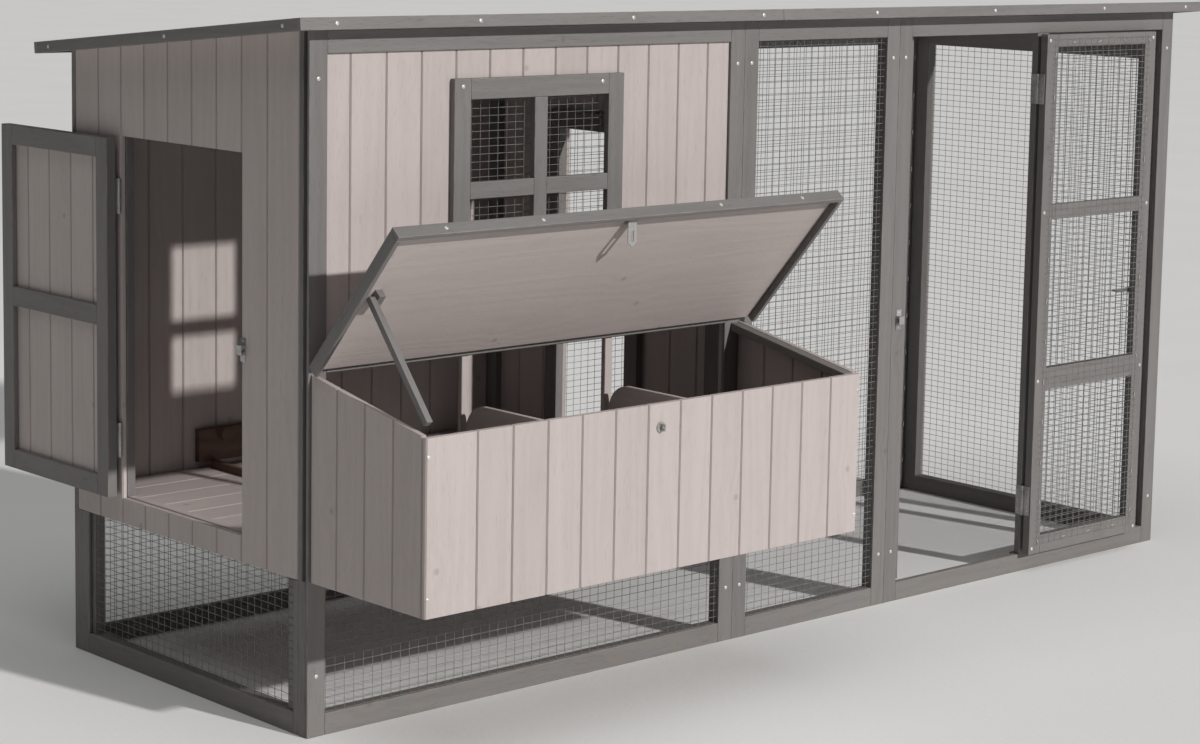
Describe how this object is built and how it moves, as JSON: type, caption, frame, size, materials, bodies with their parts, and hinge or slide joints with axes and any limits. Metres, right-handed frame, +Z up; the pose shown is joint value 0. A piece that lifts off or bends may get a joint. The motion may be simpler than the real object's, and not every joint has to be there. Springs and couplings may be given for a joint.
{
  "type": "chicken coop",
  "caption": "Timber chicken coop with a raised boarded house, a nest box with a propped lid, an end door and a wire mesh run with its own door.",
  "frame": {"origin": "on the ground under the middle of the box around the coop with its doors and lid open", "axes": "+X along the front from the house to the run, +Y from the front to the back, +Z up"},
  "size_m": [2.3242, 1.2016, 1.1568],
  "materials": {
    "trim_paint": "satin grey paint over planed softwood",
    "board_wash": "pale opaque stain over tongued boards",
    "roof_felt": "mineral roofing felt",
    "galvanised": "dull zinc plate",
    "coated_wire": "grey coated welded wire",
    "brown_wood": "dark brown stain"
  },
  "bodies": {
    "coop": {"front_trim": "trim_paint", "front_battens": "trim_paint", "house_front_boards": "board_wash", "window_frame": "trim_paint", "window_mesh": "coated_wire", "front_mesh": "coated_wire", "nest_posts": "board_wash", "door_jamb": "trim_paint", "door_stop": "trim_paint", "end_trim": "trim_paint", "end_battens": "trim_paint", "end_boards": "board_wash", "end_mesh": "coated_wire", "end_sill": "board_wash", "back_frame": "trim_paint", "back_boards": "board_wash", "back_mesh": "coated_wire", "run_end_trim": "trim_paint", "run_end_battens": "trim_paint", "run_end_mesh": "coated_wire", "partition_battens": "trim_paint", "partition_boards": "board_wash", "floor_boards": "board_wash", "floor_bearers": "trim_paint", "floor_strip": "brown_wood", "wall_block": "brown_wood", "roof_deck": "board_wash", "roof_felt": "roof_felt", "roof_fascia": "trim_paint", "nest_front": "board_wash", "nest_sides": "board_wash", "nest_floor": "board_wash", "nest_dividers": "board_wash", "nest_rim": "trim_paint", "fixed_hinge_leaves": "galvanised", "hinge_pins": "galvanised", "bolt_keepers": "galvanised", "coop_screws": "galvanised", "staple_plate": "galvanised"},
    "run_door": {"run_door_frame": "trim_paint", "run_door_mesh": "coated_wire", "run_door_hinge_leaves": "galvanised", "run_bolt_barrel": "galvanised", "door_screws": "galvanised"},
    "run_bolt": {"run_bolt": "galvanised"},
    "end_door": {"end_door_frame": "trim_paint", "end_door_boards": "board_wash", "end_door_hinge_leaves": "galvanised", "end_bolt_barrel": "galvanised"},
    "end_bolt": {"end_bolt": "galvanised"},
    "nest_lid": {"lid_panel": "board_wash", "lid_rim": "trim_paint", "lid_hinge_leaves": "galvanised", "stay_cleat": "trim_paint", "hasp_plate": "galvanised", "lid_screws": "galvanised"},
    "lid_stay": {"lid_stay": "trim_paint"},
    "hasp_strap": {"hasp_strap": "galvanised"},
    "nest_staple": {"nest_staple": "galvanised"}
  },
  "joints": [
    {"name": "run_door_hinge", "type": "hinge", "parent": "coop", "child": "run_door", "pos_m": [0.66765, -0.29975, 0.038], "axis": [0, 0, 1], "range_deg": [-180, 0]},
    {"name": "run_bolt_slide", "type": "slide", "parent": "run_door", "child": "run_bolt", "axis": [1, 0, 0], "range_m": [0, 0.035]},
    {"name": "end_door_hinge", "type": "hinge", "parent": "coop", "child": "end_door", "pos_m": [-1.119, 0.24675, 0.303], "axis": [0, 0, 1], "range_deg": [0, 180]},
    {"name": "end_bolt_slide", "type": "slide", "parent": "end_door", "child": "end_bolt", "axis": [0, 1, 0], "range_m": [0, 0.02]},
    {"name": "lid_hinge", "type": "hinge", "parent": "coop", "child": "nest_lid", "pos_m": [-0.6295, -0.29875, 0.59957], "axis": [1, 0, 0], "range_deg": [0, 59.8]},
    {"name": "stay_pivot", "type": "hinge", "parent": "nest_lid", "child": "lid_stay", "pos_m": [-1.094, -0.43061, 0.7261], "axis": [1, 0, 0], "range_deg": [-18.5, 0]},
    {"name": "hasp_pivot", "type": "hinge", "parent": "nest_lid", "child": "hasp_strap", "pos_m": [-0.6255, -0.51238, 0.82932], "axis": [1, 0, 0], "range_deg": [-60, 0]},
    {"name": "staple_turn", "type": "hinge", "parent": "coop", "child": "nest_staple", "pos_m": [-0.6255, -0.58875, 0.497], "axis": [0, -1, 0], "range_deg": [0, 90]}
  ],
  "couplings": [
    {"joint": "stay_pivot", "follows": "lid_hinge", "ratio": -0.3},
    {"joint": "hasp_pivot", "follows": "lid_hinge", "ratio": -1}
  ]
}
